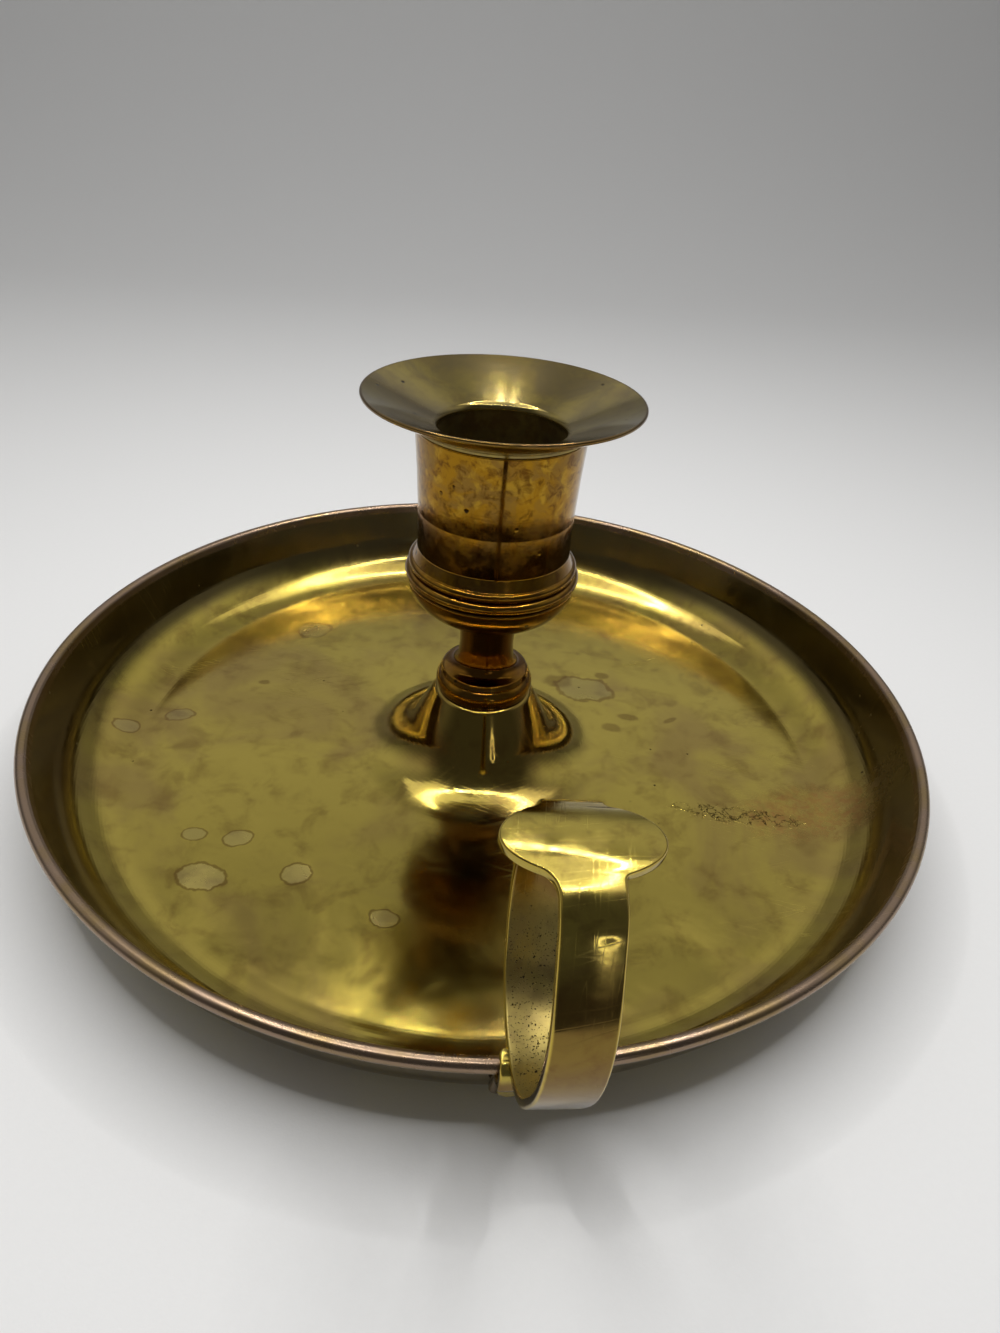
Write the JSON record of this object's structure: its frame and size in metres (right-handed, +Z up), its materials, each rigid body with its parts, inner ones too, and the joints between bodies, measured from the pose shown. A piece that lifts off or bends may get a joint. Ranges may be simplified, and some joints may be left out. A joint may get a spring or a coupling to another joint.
{
  "type": "chamberstick",
  "caption": "Low pan candlestick with a dished drip pan, a turned socket on a short stem, a lift-out flared nozzle and a strap finger loop with an oval thumb plate.",
  "frame": {"origin": "on the candle's axis, in the plane of the table that the pan's floor rests on", "axes": "+Z up along the candle's axis, -Y from the axis towards the finger loop, +X to the right seen from the loop's side"},
  "size_m": [0.18, 0.1936, 0.0791],
  "materials": {
    "pan_brass": "old polished brass with water spots, scratches and a brown stain",
    "turned_brass": "old turned brass, mottled brown and yellow",
    "nozzle_brass": "old polished brass, dull in the funnel",
    "strap_brass": "worn polished brass, pitted inside the loop",
    "rivet_brass": "dull hammered brass",
    "rim_iron": "dull drawn iron wire",
    "fastener_iron": "dull iron with light rust"
  },
  "bodies": {
    "root": {"drip_pan": "pan_brass", "rim_wire": "rim_iron", "stem_knop": "turned_brass", "candle_cup": "turned_brass", "handle_loop": "strap_brass", "handle_rivets": "rivet_brass", "tie_stud": "fastener_iron", "stem_washer": "fastener_iron", "stem_nut": "fastener_iron"},
    "nozzle": {"nozzle": "nozzle_brass"}
  },
  "joints": [
    {"name": "nozzle_lift", "type": "slide", "parent": "root", "child": "nozzle", "axis": [0, 0, 1], "range_m": [0, 0.03]}
  ]
}
